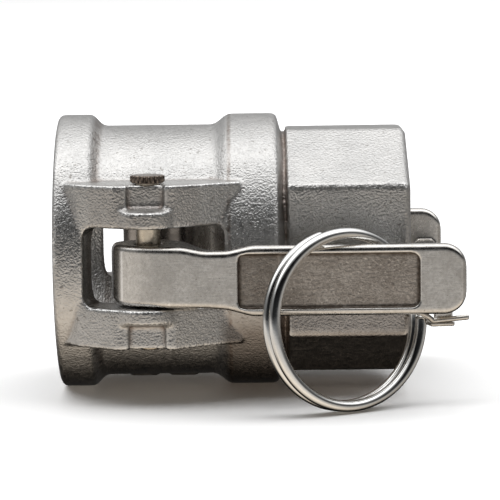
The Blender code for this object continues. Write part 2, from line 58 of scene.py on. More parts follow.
# Coupler body, along the bore (all lengths in millimetres)
MOUTH_X = -34.8
RIM_END_X = -28.95
NECK_START_X = -27.1
NECK_END_X = -7.7
COLLAR_START_X = -5.5
COLLAR_END_X = 2.7
SHOULDER_X = 4.2
HEX_START_X = 4.6
HEX_END_X = 25.45
RIM_R = 23.8
NECK_R = 21.85
COLLAR_R = 23.7
HEX_FLAT = 19.4
HEX_SLANT = 20.7
HEX_CROWN = 21.2
TURN_STEPS = 180
CAST_VOXEL = 0.34
CAST_ROUNDS = 5

# Bore, gasket seat and pipe thread
SOCKET_R = 18.6
SEAT_START_X = -4.6
SEAT_END_X = 2.2
SEAT_R = 20.15
WATERWAY_R = 13.2
THREAD_START_X = 7.0
THREAD_MINOR_R = 15.1
THREAD_DEPTH = 0.95
THREAD_PITCH = 2.209
THREAD_TAPER = 1.0 / 32.0
GASKET_GAP = 0.3
GASKET_INNER_R = 13.6

# Lugs, arm windows and pivot pins
PIVOT_X = -18.65
PIVOT_OUT = 22.8
SLOT_TOP = 6.5
SLOT_BOTTOM = -6.9
SLOT_CORNER_R = 1.6
SLOT_START_X = -29.6
SLOT_END_X = -5.9
LUG_CENTRE_X = -19.0
LUG_TOP = 13.65
LUG_FOOT = 0.3
LUG_ROOT = 5.5
LUG_BOSS_R = 5.9
LUG_BOSS_TOP = 9.25
LEDGE_SLOPE = 0.18
LUG_NOTCH_HALF = 3.1
LUG_NOTCH_OUT = 25.3
LUG_SHAPE = (
    (-33.3, 17.0), (-33.3, 19.5), (-30.6, 22.8), (-24.7, 26.2), (-24.0, 26.5), (-14.6, 26.5),
    (-13.9, 26.2), (-6.0, 21.8), (-3.2, 20.4), (-3.2, 17.0),
)
LUG_FACE_OUT = 26.0
PAD_CENTRES_X = (-20.5, -13.5)
PAD_HALF = 2.3
PAD_RISE = 0.3
PAD_SINK = 1.5
PIN_R = 2.05
PIN_HOLE_R = 2.25
PIN_HEAD_R = 2.9
PIN_HEAD_BASE = 13.85
PIN_RIB_BASE = 14.05
PIN_HEAD_TOP = 15.15
PIN_TAIL = -14.1

# Cam arm
ARM_HOLE_R = 2.3
HANDLE_END_X = 34.0
HANDLE_OUTER = 29.4
HANDLE_INNER = 26.8
HANDLE_TOP = 3.77
HANDLE_BOTTOM = -8.0
HUB_TOP = 3.6
HUB_BOTTOM = -6.6
NECK_TOP = 2.9
NECK_BOTTOM = -6.9
EDGE_R = 1.0
END_CORNER = 3.8
HUB_CORNER_LOW = 1.7
HUB_CORNER_HIGH = 0.9
PANEL_START_X = -3.8
PANEL_STEP_X = 3.0
PANEL_END_X = 26.3
PANEL_TOP = 2.4
PANEL_BOTTOM = -6.75
PANEL_CORNER_R = 1.5
PANEL_DEPTH = 0.8
PANEL_STEP = 0.25
ARM_VOXEL = 0.17
ARM_ROUNDS = 3

# Tab that carries the split pin
TAB_START_X = 29.2
TAB_END_X = 32.7
TAB_FOOT_END_X = 32.1
TAB_TOP = -2.0
TAB_BOTTOM = -10.7
TAB_INNER = 18.8
TAB_FACE = 23.3

# Pull ring and split pin
RING_R = 14.23
RING_WIRE = 1.9
RING_PITCH = 1.96
RING_CENTRE_X = 13.98
RING_CENTRE_OUT = 29.4
RING_CENTRE_Z = -8.6
RING_TURN = radians(30.0)
RING_LEAN = radians(5.8)
RING_START = radians(100.0)
RING_CROSSING = radians(100.0)
RING_END_GAP = radians(1.0)
COTTER_WIRE = 0.9
COTTER_LONG_X = 34.8
COTTER_SHORT_X = 32.45
COTTER_FRONT_OUT = 23.95
COTTER_REAR_OUT = 22.95
COTTER_LONG_Z = (-9.75, -9.2)
COTTER_SHORT_Z = (-10.47, -10.38)
COTTER_GAP = 0.22

# Camera
CAMERA_AIM = (-1.7, 0.0, -0.35)
CAMERA_DISTANCE = 448.8
CAMERA_LIFT = radians(6.8)
CAMERA_ROLL = radians(-0.7)
CAMERA_SENSOR = 36.0
VIEW_WIDTH = 88.0


# ---------------------------------------------------------------- mesh helpers

def make_object(name, points, faces):
    mesh = bpy.data.meshes.new(name)
    mesh.from_pydata([Vector(p) * MM for p in points], [], faces)
    work = bmesh.new()
    work.from_mesh(mesh)
    bmesh.ops.recalc_face_normals(work, faces=work.faces)
    work.to_mesh(mesh)
    work.free()
    made = bpy.data.objects.new(name, mesh)
    bpy.context.scene.collection.objects.link(made)
    return made


def bake_modifiers(thing):
    """Replace a mesh by what its modifiers make of it."""
    bpy.context.view_layer.update()
    seen = thing.evaluated_get(bpy.context.evaluated_depsgraph_get())
    mesh = bpy.data.meshes.new_from_object(seen)
    old = thing.data
    thing.modifiers.clear()
    thing.data = mesh
    bpy.data.meshes.remove(old)
    return thing


def carve(target, steps):
    """Apply (operation, name, pieces) steps as exact booleans and drop the operands."""
    operands = []
    for operation, name, pieces in steps:
        points = []
        faces = []
        for piece_points, piece_faces in pieces:
            base = len(points)
            points.extend(piece_points)
            faces.extend([[base + i for i in face] for face in piece_faces])
        other = make_object(name, points, faces)
        step = target.modifiers.new(name, "BOOLEAN")
        step.operation = operation
        step.solver = "EXACT"
        step.object = other
        operands.append(other)
    bake_modifiers(target)
    for other in operands:
        bpy.data.objects.remove(other, do_unlink=True)
    return target


def soften(target, voxel, rounds):
    """Rebuild the surface evenly and round its edges a little, as a casting's are."""
    remesh = target.modifiers.new("even", "REMESH")
    remesh.mode = "VOXEL"
    remesh.voxel_size = voxel * MM
    remesh.adaptivity = 0.0
    smooth = target.modifiers.new("round", "SMOOTH")
    smooth.factor = 0.5
    smooth.iterations = rounds
    bake_modifiers(target)
    target.data.shade_smooth()
    return target


def strip_faces(rows, columns, closed_rows=False):
    """Quads over a grid of points whose columns run right round."""
    faces = []
    count = rows if closed_rows else rows - 1
    for k in range(count):
        m = (k + 1) % rows
        for i in range(columns):
            j = (i + 1) % columns
            faces.append([k * columns + i, k * columns + j, m * columns + j, m * columns + i])
    return faces


def capped(points, rows, columns):
    faces = strip_faces(rows, columns)
    faces.append(list(range(columns)))
    faces.append([(rows - 1) * columns + i for i in range(columns)])
    return points, faces


def turned(profile, radius_at, steps=TURN_STEPS):
    """Turn (x, radius, kind) rows about the bore axis; radius_at gives the radius at an angle."""
    points = []
    for x, radius, kind in profile:
        for i in range(steps):
            turn = 2 * pi * i / steps
            r = radius_at(x, radius, kind, turn)
            points.append((x, r * cos(turn), r * sin(turn)))
    return capped(points, len(profile), steps)


def prism(outline, low, high):
    count = len(outline)
    points = [(x, y, low) for x, y in outline] + [(x, y, high) for x, y in outline]
    return capped(points, 2, count)


def side_prism(outline, near, far):
    count = len(outline)
    points = [(x, near, z) for x, z in outline] + [(x, far, z) for x, z in outline]
    return capped(points, 2, count)


def circle(centre_x, centre_y, radius, steps):
    turns = [2 * pi * i / steps for i in range(steps)]
    return [(centre_x + radius * cos(t), centre_y + radius * sin(t)) for t in turns]


def rounded(low_a, high_a, low_b, high_b, radius, steps=5):
    """A rectangle with rounded corners, as a list of points."""
    outline = []
    corners = (
        (high_a - radius, high_b - radius, 0.0),
        (low_a + radius, high_b - radius, 0.5 * pi),
        (low_a + radius, low_b + radius, pi),
        (high_a - radius, low_b + radius, 1.5 * pi),
    )
    for a, b, start in corners:
        for i in range(steps + 1):
            turn = start + 0.5 * pi * i / steps
            outline.append((a + radius * cos(turn), b + radius * sin(turn)))
    return outline


def round_end(centres, radii, radius):
    """Swap the last stretch of a wire's path for a rounded end."""
    tip = centres[-1]
    run = (tip - centres[-2]).normalized()
    reach = 0.75 * radius
    while len(centres) > 2 and (centres[-2] - tip).length < 1.2 * reach:
        del centres[-2]
        del radii[-2]
    centres[-1] = tip - run * reach
    for k in range(1, 8):
        turn = 0.5 * pi * k / 8
        centres.append(tip + run * reach * (sin(turn) - 1.0))
        radii.append(radius * cos(turn))


def swept(path, radius, sides, round_ends=True):
    """A round wire along a list of points, its ends rounded over."""
    centres = [Vector(p) for p in path]
    radii = [radius] * len(centres)
    if round_ends:
        for _ in range(2):
            round_end(centres, radii, radius)
            centres.reverse()
            radii.reverse()
    count = len(centres)
    tangents = []
    for i in range(count):
        step = centres[min(i + 1, count - 1)] - centres[max(i - 1, 0)]
        tangents.append(step.normalized())
    across = tangents[0].orthogonal().normalized()
    points = []
    for centre, tangent, r in zip(centres, tangents, radii):
        across = (across - tangent * across.dot(tangent)).normalized()
        other = tangent.cross(across)
        for i in range(sides):
            turn = 2 * pi * i / sides
            points.append(tuple(centre + r * (cos(turn) * across + sin(turn) * other)))
    return capped(points, count, sides)


def smooth_step(value):
    value = min(max(value, 0.0), 1.0)
    return value * value * (3.0 - 2.0 * value)


# ---------------------------------------------------------------- coupler body

def hex_radius(x, radius, kind, turn):
    """A round row keeps its radius; a hex row gives how far its eight faces are drawn in."""
    if kind != "hex":
        return radius
    faces = [(0.0, HEX_FLAT), (180.0, HEX_FLAT), (90.0, HEX_CROWN), (270.0, HEX_CROWN)]
    faces += [(normal, HEX_SLANT) for normal in (60.0, 120.0, 240.0, 300.0)]
    reach = 2.0 * HEX_FLAT
    for normal, distance in faces:
        facing = cos(turn - radians(normal))
        if facing > 0.5:
            reach = min(reach, (distance - radius) / facing)
    return reach


def thread_radius(x, radius, kind, turn):
    """Radius of the bore, with a helical V groove along the threaded length."""
    if kind != "thread":
        return radius
    phase = ((x - THREAD_START_X) / THREAD_PITCH - turn / (2 * pi)) % 1.0
    depth = THREAD_DEPTH * (1.0 - abs(2.0 * phase - 1.0))
    fade = smooth_step((x - THREAD_START_X) / (0.6 * THREAD_PITCH))
    return radius + depth * fade


def outer_profile():
    """Rows of the outside from the mouth to the hex end, each easing its corners."""
    ease = 0.8
    return [
        (MOUTH_X, RIM_R - ease, ""),
        (MOUTH_X + 0.3 * ease, RIM_R - 0.3 * ease, ""),
        (MOUTH_X + ease, RIM_R, ""),
        (RIM_END_X - 0.3, RIM_R, ""),
        (RIM_END_X + 0.25, RIM_R - 0.25, ""),
        (NECK_START_X - 0.3, NECK_R + 0.3, ""),
        (NECK_START_X + 0.5, NECK_R, ""),
        (NECK_END_X - 0.5, NECK_R, ""),
        (NECK_END_X + 0.3, NECK_R + 0.25, ""),
        (COLLAR_START_X - 0.3, COLLAR_R - 0.3, ""),
        (COLLAR_START_X + 0.5, COLLAR_R, ""),
        (COLLAR_END_X - 0.3, COLLAR_R, ""),
        (COLLAR_END_X + 0.4, COLLAR_R - 0.35, ""),
        (SHOULDER_X, HEX_FLAT - 0.1, ""),
        (HEX_START_X, HEX_FLAT - 0.1, ""),
        (HEX_START_X + 0.15, 0.05, "hex"),
        (HEX_END_X - 0.8, 0.0, "hex"),
        (HEX_END_X, 0.8, "hex"),
    ]


def bore_profile():
    """Rows of the bore: socket, gasket seat, waterway and tapered thread, open at both ends."""
    past = 1.0
    profile = [
        (MOUTH_X - past, SOCKET_R + 0.9 + past, ""),
        (MOUTH_X + 0.9, SOCKET_R, ""),
        (SEAT_START_X, SOCKET_R, ""),
        (SEAT_START_X, SEAT_R, ""),
        (SEAT_END_X, SEAT_R, ""),
        (SEAT_END_X, WATERWAY_R, ""),
        (THREAD_START_X - 1.2, WATERWAY_R, ""),
        (THREAD_START_X - 0.2, THREAD_MINOR_R, ""),
    ]
    end = HEX_END_X - 0.9
    count = int((end - THREAD_START_X) / THREAD_PITCH * 8)
    for i in range(count + 1):
        x = THREAD_START_X + (end - THREAD_START_X) * i / count
        minor = THREAD_MINOR_R + THREAD_TAPER * (x - THREAD_START_X)
        profile.append((x, minor, "thread"))
    profile.append((HEX_END_X + past, THREAD_MINOR_R + 1.5 + past, ""))
    return profile


def lug_pieces(side):
    """Upper and lower lug; the lower one is a little deeper along its face."""
    outline = [(x, side * out) for x, out in LUG_SHAPE]
    lower = prism(outline, -LUG_TOP, -LUG_ROOT)
    for i, (x, out) in enumerate(LUG_SHAPE):
        if out > LUG_FACE_OUT:
            lower[0][i] = (x, side * out, -LUG_TOP - LUG_FOOT)
    return [prism(outline, LUG_ROOT, LUG_TOP), lower]


def ledge_height(out):
    """Height of the boss ledge, which slopes down towards the outside."""
    return LUG_BOSS_TOP + LEDGE_SLOPE * (PIVOT_OUT + LUG_BOSS_R - out)


def boss_pieces(side):
    """Round bosses about the pivot pin, above and below the arm."""
    pieces = []
    for up in (-1.0, 1.0):
        outline = circle(LUG_CENTRE_X, side * PIVOT_OUT, LUG_BOSS_R, 64)
        points, faces = prism(outline, up * LUG_ROOT, 0.0)
        for i, (x, y) in enumerate(outline):
            points[len(outline) + i] = (x, y, up * ledge_height(side * y))
        pieces.append((points, faces))
    return pieces


def slot_piece(side):
    """The arm window: corners rounded, and on the mouth side wider at the outside."""
    rows = (
        (14.0, SLOT_START_X + 1.4), (SOCKET_R - 0.5, SLOT_START_X + 1.4),
        (NECK_R, SLOT_START_X), (35.0, SLOT_START_X - 0.4),
    )
    points = []
    for out, start in rows:
        outline = rounded(start, SLOT_END_X, SLOT_BOTTOM, SLOT_TOP, SLOT_CORNER_R, 6)
        points.extend([(x, side * out, z) for x, z in outline])
    return capped(points, len(rows), len(outline))


def notch_pieces(side):
    """Square notches down the lug faces, as far as the boss ledges."""
    pieces = []
    for up in (-1.0, 1.0):
        shape = [
            (LUG_CENTRE_X - LUG_NOTCH_HALF, side * LUG_NOTCH_OUT),
            (LUG_CENTRE_X + LUG_NOTCH_HALF, side * LUG_NOTCH_OUT),
            (LUG_CENTRE_X + LUG_NOTCH_HALF, side * 31.0),
            (LUG_CENTRE_X - LUG_NOTCH_HALF, side * 31.0),
        ]
        points, faces = prism(shape, 0.0, up * (LUG_TOP + 1.0))
        for i, (x, y) in enumerate(shape):
            points[i] = (x, y, up * (ledge_height(side * y) + 0.02))
        pieces.append((points, faces))
    return pieces


def pad_pieces():
    """Two blank square pads under the neck."""
    pieces = []
    for centre in PAD_CENTRES_X:
        shape = [
            (centre + a * PAD_HALF, b * PAD_HALF) for a, b in ((-1, -1), (1, -1), (1, 1), (-1, 1))
        ]
        pieces.append(prism(shape, -NECK_R - PAD_RISE, -NECK_R + PAD_SINK))
    return pieces


def build_casting():
    body = make_object("coupler_casting", *turned(outer_profile(), hex_radius))
    holes = [
        prism(circle(PIVOT_X, side * PIVOT_OUT, PIN_HOLE_R, 32), -20.0, 20.0)
        for side in (-1.0, 1.0)
    ]
    carve(body, [
        ("UNION", "lugs", lug_pieces(-1.0) + lug_pieces(1.0)),
        ("UNION", "bosses", boss_pieces(-1.0) + boss_pieces(1.0)),
        ("UNION", "pads", pad_pieces()),
        ("DIFFERENCE", "bore", [turned(bore_profile(), thread_radius)]),
        ("DIFFERENCE", "slots", [slot_piece(-1.0), slot_piece(1.0)]),
        ("DIFFERENCE", "notches", notch_pieces(-1.0) + notch_pieces(1.0)),
        ("DIFFERENCE", "holes", holes),
    ])
    return soften(body, CAST_VOXEL, CAST_ROUNDS)


def build_seal():
    """Gasket with eased corners."""
    low = SEAT_START_X + GASKET_GAP
    high = SEAT_END_X - GASKET_GAP
    rows = rounded(low, high, GASKET_INNER_R, SEAT_R - GASKET_GAP, 0.7, 6)
    steps = 120
    points = []
    for x, radius in rows:
        for i in range(steps):
            turn = 2 * pi * i / steps
            points.append((x, radius * cos(turn), radius * sin(turn)))
    made = make_object("seal_ring", points, strip_faces(len(rows), steps, closed_rows=True))
    made.data.shade_smooth()
    return made


# ---------------------------------------------------------------- pivot pins

def build_pin(tag, side):
    """Plain shank with a ribbed head resting on the upper lug."""
    teeth = 22
    per_tooth = 8
    steps = teeth * per_tooth
    rows = [
        (PIN_TAIL, PIN_R - 0.45, 0.0), (PIN_TAIL + 0.12, PIN_R - 0.2, 0.0),
        (PIN_TAIL + 0.35, PIN_R, 0.0), (PIN_HEAD_BASE - 0.05, PIN_R, 0.0),
        (PIN_HEAD_BASE, PIN_HEAD_R - 0.3, 0.0), (PIN_HEAD_BASE + 0.08, PIN_HEAD_R - 0.18, 0.0),
        (PIN_RIB_BASE - 0.02, PIN_HEAD_R - 0.18, 0.0), (PIN_RIB_BASE, PIN_HEAD_R - 0.05, 0.28),
        (PIN_RIB_BASE + 0.1, PIN_HEAD_R, 0.36), (PIN_HEAD_TOP - 0.25, PIN_HEAD_R, 0.36),
        (PIN_HEAD_TOP - 0.1, PIN_HEAD_R - 0.1, 0.22),
        (PIN_HEAD_TOP, PIN_HEAD_R - 0.35, 0.05), (PIN_HEAD_TOP, PIN_HEAD_R - 0.9, 0.0),
    ]
    points = []
    for z, radius, rib in rows:
        for i in range(steps):
            turn = 2 * pi * i / steps
            wave = 0.5 - 0.5 * cos(2 * pi * (i % per_tooth) / per_tooth)
            r = radius - rib * wave ** 0.7
            points.append((PIVOT_X + r * cos(turn), side * PIVOT_OUT + r * sin(turn), z))
    made = make_object("pin_" + tag, *capped(points, len(rows), steps))
    made.data.shade_smooth()
    made.data.set_sharp_from_angle(angle=radians(50.0))
    return made


# ---------------------------------------------------------------- cam arms

ARM_OUTER = (
    (-24.9, 21.6), (-24.6, 22.9), (-23.8, 24.3), (-22.4, 25.6), (-20.5, 26.8), (-18.0, 27.8),
    (-15.0, 28.6), (-11.5, 29.2), (-8.0, HANDLE_OUTER),
)
ARM_INNER = (
    (-24.9, 19.6), (-24.6, 18.8), (-23.8, 17.6), (-22.4, 16.4), (-20.5, 15.5), (-18.5, 15.3),
    (-16.5, 15.8), (-14.4, 17.1), (-12.6, 19.0), (-11.2, 21.3), (-10.0, 23.6), (-8.6, 25.4),
    (-6.8, 26.4), (-4.5, HANDLE_INNER),
)
ARM_TOP = ((-13.0, HUB_TOP), (-9.5, NECK_TOP), (-5.5, NECK_TOP), (-1.5, HANDLE_TOP))
ARM_BOTTOM = ((-9.0, HUB_BOTTOM), (-5.5, NECK_BOTTOM), (-1.5, HANDLE_BOTTOM))


def read_curve(table, stations):
    """Read a table along the stations, with its bends eased."""
    xs, values = zip(*table)
    read = np.interp(stations, xs, values)
    weights = np.array([1.0, 2.0, 3.0, 2.0, 1.0])
    padded = np.pad(read, 2, mode="edge")
    return np.convolve(padded, weights / weights.sum(), mode="valid")


def corner_drop(radius, past):
    """How far a round corner has fallen away, at a distance past its start."""
    past = min(max(past, 0.0), radius)
    return radius - sqrt(radius ** 2 - past ** 2)


def arm_bar(side):
    """One bar whose rounded section follows the plan and side outlines."""
    ends = np.array([-24.9, -24.8, -24.6, -24.3])
    stations = np.concatenate([ends, np.arange(-23.9, 30.0, 0.4), np.arange(30.1, 33.9, 0.15)])
    stations = np.append(stations, HANDLE_END_X)
    inner = read_curve(ARM_INNER, stations)
    outer = read_curve(ARM_OUTER, stations)
    low = read_curve(ARM_BOTTOM, stations)
    high = read_curve(ARM_TOP, stations)
    steps = 7
    ease = EDGE_R - 0.1
    points = []
    for x, a, b, c, d in zip(stations, inner, outer, low, high):
        before = stations[0] - x
        c += corner_drop(HUB_CORNER_LOW, HUB_CORNER_LOW + before)
        d -= corner_drop(HUB_CORNER_HIGH, HUB_CORNER_HIGH + before)
        past = x - (HANDLE_END_X - END_CORNER)
        if past > 0.0:
            drop = corner_drop(END_CORNER, past)
            c += drop
            d -= drop
            thin = ease * (max(past - (END_CORNER - ease), 0.0) / ease) ** 2
            a += thin
            b -= thin
        radius = min(EDGE_R, 0.45 * (b - a), 0.45 * (d - c))
        for out, z in rounded(a, b, c, d, radius, steps):
            points.append((x, side * out, z))
    return capped(points, len(stations), 4 * (steps + 1))


def arm_cuts(side):
    """Tab, recessed panel, pin hole and split pin groove of an arm."""
    past = side * (HANDLE_OUTER + 1.0)
    floor = side * (HANDLE_OUTER - PANEL_DEPTH)
    deep = side * (HANDLE_OUTER - PANEL_DEPTH - PANEL_STEP)
    main = rounded(PANEL_START_X, PANEL_END_X, PANEL_BOTTOM, PANEL_TOP, PANEL_CORNER_R, 6)
    lower = rounded(
        PANEL_START_X + 0.15, PANEL_STEP_X, PANEL_BOTTOM + 0.15, PANEL_TOP - 0.15, 0.6, 3
    )
    upper = [
        (TAB_START_X, -7.3), (TAB_END_X, -7.3), (TAB_END_X, TAB_TOP - 0.5),
        (TAB_END_X - 0.5, TAB_TOP), (TAB_START_X + 0.5, TAB_TOP), (TAB_START_X, TAB_TOP - 0.5),
    ]
    end = TAB_FOOT_END_X
    foot = [
        (TAB_START_X, -6.3), (TAB_START_X, TAB_BOTTOM + 0.4), (TAB_START_X + 0.4, TAB_BOTTOM),
        (end - 0.7, TAB_BOTTOM), (end, TAB_BOTTOM + 1.0), (end, -6.3),
    ]
    start, stop = cotter_legs(side)[1]
    run = (stop - start).normalized()
    line = [start - 1.5 * run, stop + 3.0 * run]
    groove = swept(line, 0.5 * COTTER_WIRE + 0.16, 16, round_ends=False)
    hole = prism(circle(PIVOT_X, side * PIVOT_OUT, ARM_HOLE_R, 32), -12.0, 9.0)
    return [
        ("UNION", "tab_upper", [side_prism(upper, side * TAB_INNER, side * (HANDLE_INNER + 0.8))]),
        ("UNION", "tab_foot", [side_prism(foot, side * (TAB_INNER + 0.2), side * TAB_FACE)]),
        ("DIFFERENCE", "panel", [side_prism(main, floor, past)]),
        ("DIFFERENCE", "panel_deep", [side_prism(lower, deep, past)]),
        ("DIFFERENCE", "hole", [hole]),
        ("DIFFERENCE", "groove", [groove]),
    ]


def build_arm(tag, side):
    arm = make_object("arm_" + tag, *arm_bar(side))
    carve(arm, arm_cuts(side))
    return soften(arm, ARM_VOXEL, ARM_ROUNDS)


# ---------------------------------------------------------------- rings and split pins

def ring_frame(side):
    """Centre of a pull ring, its two in-plane directions and its axis."""
    across = Vector((cos(RING_TURN), -side * sin(RING_TURN), 0.0))
    facing = Vector((sin(RING_TURN), side * cos(RING_TURN), 0.0))
    up = Vector((0.0, 0.0, cos(RING_LEAN))) - facing * sin(RING_LEAN)
    axis = facing * cos(RING_LEAN) + Vector((0.0, 0.0, sin(RING_LEAN)))
    centre = Vector((RING_CENTRE_X, side * RING_CENTRE_OUT, RING_CENTRE_Z))
    return centre, across, up, axis


def build_ring(tag, side):
    """Two flat turns, joined by one strand that crosses between the layers at the top."""
    centre, across, up, axis = ring_frame(side)
    total = 4 * pi - RING_CROSSING - 2.0 * RING_END_GAP
    count = 300
    path = []
    for i in range(count + 1):
        run = RING_END_GAP + total * i / count
        rise = smooth_step((run - (2 * pi - RING_CROSSING)) / RING_CROSSING)
        turn = RING_START + run
        offset = RING_PITCH * (rise - 0.5) * axis
        path.append(centre + RING_R * (cos(turn) * across + sin(turn) * up) + offset)
    made = make_object("ring_" + tag, *swept(path, 0.5 * RING_WIRE, 28))
    made.data.shade_smooth()
    return made


def eased_path(corners, rounds):
    """Round the corners of a path by cutting each one again and again, keeping its two ends."""
    path = [Vector(p) for p in corners]
    for _ in range(rounds):
        cut = [path[0]]
        for a, b in zip(path, path[1:]):
            cut.append(0.75 * a + 0.25 * b)
            cut.append(0.25 * a + 0.75 * b)
        cut.append(path[-1])
        path = cut
    return path


def cotter_legs(side):
    """Lines of the two legs, each from just before the tab to its tip."""
    start = TAB_START_X - 0.3
    front = side * COTTER_FRONT_OUT
    rear = side * COTTER_REAR_OUT
    legs = []
    for out, tip_x, heights in (
        (front, COTTER_LONG_X, COTTER_LONG_Z), (rear, COTTER_SHORT_X, COTTER_SHORT_Z),
    ):
        legs.append((Vector((start, out, heights[0])), Vector((tip_x, out, heights[1]))))
    return legs


def cotter_path(side):
    """Long front leg, an eye that rises round both turns of the ring, and a short rear leg."""
    centre, across, up, axis = ring_frame(side)
    middle = centre + RING_R * across
    wide = 0.5 * (RING_PITCH + RING_WIRE) + COTTER_GAP + 0.5 * COTTER_WIRE
    deep = 0.5 * RING_WIRE + COTTER_GAP + 0.5 * COTTER_WIRE
    long_leg, short_leg = cotter_legs(side)
    lead = Vector((0.25, 0.0, 0.0))
    corners = [long_leg[1], long_leg[0], long_leg[0] - lead]
    for r, a, z in (
        (0.3 * deep, 1.04 * wide, -9.1), (-deep, wide, -8.0), (-deep, -wide, -8.6),
        (deep, -wide, -9.9),
    ):
        spot = middle + r * across + a * axis
        corners.append(Vector((spot.x, spot.y, z)))
    corners.append(short_leg[0] - lead)
    corners.extend(short_leg)
    return eased_path(corners, 4)


def build_cotter(tag, side):
    made = make_object("cotter_" + tag, *swept(cotter_path(side), 0.5 * COTTER_WIRE, 20))
    made.data.shade_smooth()
    return made


# ---------------------------------------------------------------- materials

class Finish:
    """A Principled material built from procedural nodes in the piece's own coordinates."""

    def __init__(self, name, colour, metallic, roughness):
        self.made = bpy.data.materials.new(name)
        self.made.use_nodes = True
        self.tree = self.made.node_tree
        self.shader = self.tree.nodes["Principled BSDF"]
        self.shader.inputs["Metallic"].default_value = metallic
        self.shader.inputs["Base Color"].default_value = (*colour, 1.0)
        self.shader.inputs["Roughness"].default_value = roughness
        self.place = self.tree.nodes.new("ShaderNodeTexCoord").outputs["Object"]
        self.normal = None

    def put(self, socket, value):
        if isinstance(value, bpy.types.NodeSocket):
            self.tree.links.new(value, socket)
        else:
            socket.default_value = value

    def noise(self, grain, detail=3.0, rough=0.55, stretch=None):
        """Noise whose blobs are about grain millimetres across."""
        made = self.tree.nodes.new("ShaderNodeTexNoise")
        place = self.place
        if stretch is not None:
            mapping = self.tree.nodes.new("ShaderNodeMapping")
            mapping.inputs["Scale"].default_value = stretch
            self.tree.links.new(place, mapping.inputs["Vector"])
            place = mapping.outputs["Vector"]
        self.tree.links.new(place, made.inputs["Vector"])
        made.inputs["Scale"].default_value = 1.0 / (grain * MM)
        made.inputs["Detail"].default_value = detail
        made.inputs["Roughness"].default_value = rough
        return made.outputs["Fac"]

    def remap(self, value, low, high, to_low=0.0, to_high=1.0):
        made = self.tree.nodes.new("ShaderNodeMapRange")
        for name, number in (
            ("Value", value), ("From Min", low), ("From Max", high),
            ("To Min", to_low), ("To Max", to_high),
        ):
            self.put(made.inputs[name], number)
        return made.outputs["Result"]

    def math(self, operation, a, b=0.0):
        made = self.tree.nodes.new("ShaderNodeMath")
        made.operation = operation
        self.put(made.inputs[0], a)
        self.put(made.inputs[1], b)
        return made.outputs[0]

    def reach(self, value, none, full, share=1.0):
        """0 where value is none, growing to share where it is full; both in millimetres."""
        return self.remap(value, none * MM, full * MM, 0.0, share)

    def both(self, *shares):
        """Shares multiplied together, so that a spot needs all of them."""
        product = shares[0]
        for share in shares[1:]:
            product = self.math("MULTIPLY", product, share)
        return product

    def blend(self, share, a, b):
        made = self.tree.nodes.new("ShaderNodeMix")
        made.data_type = "RGBA"
        self.put(made.inputs[0], share)
        for socket, value in ((made.inputs[6], a), (made.inputs[7], b)):
            if isinstance(value, tuple):
                value = (*value, 1.0)
            self.put(socket, value)
        return made.outputs[2]

    def bump(self, height, depth, strength=1.0):
        """Add relief depth millimetres deep."""
        made = self.tree.nodes.new("ShaderNodeBump")
        self.put(made.inputs["Height"], height)
        made.inputs["Distance"].default_value = depth * MM
        self.put(made.inputs["Strength"], strength)
        if self.normal is not None:
            self.tree.links.new(self.normal, made.inputs["Normal"])
        self.normal = made.outputs["Normal"]

    def edges(self, low, high):
        """0 where the surface bends as much as low and 1 where as much as high; 0.5 is flat."""
        made = self.tree.nodes.new("ShaderNodeNewGeometry")
        return self.remap(made.outputs["Pointiness"], low, high)

    def axis(self, name):
        made = self.tree.nodes.new("ShaderNodeSeparateXYZ")
        self.tree.links.new(self.place, made.inputs[0])
        return made.outputs[name]

    def done(self, colour=None, roughness=None):
        if colour is not None:
            self.put(self.shader.inputs["Base Color"], colour)
        if roughness is not None:
            self.put(self.shader.inputs["Roughness"], roughness)
        if self.normal is not None:
            self.tree.links.new(self.normal, self.shader.inputs["Normal"])
        return self.made


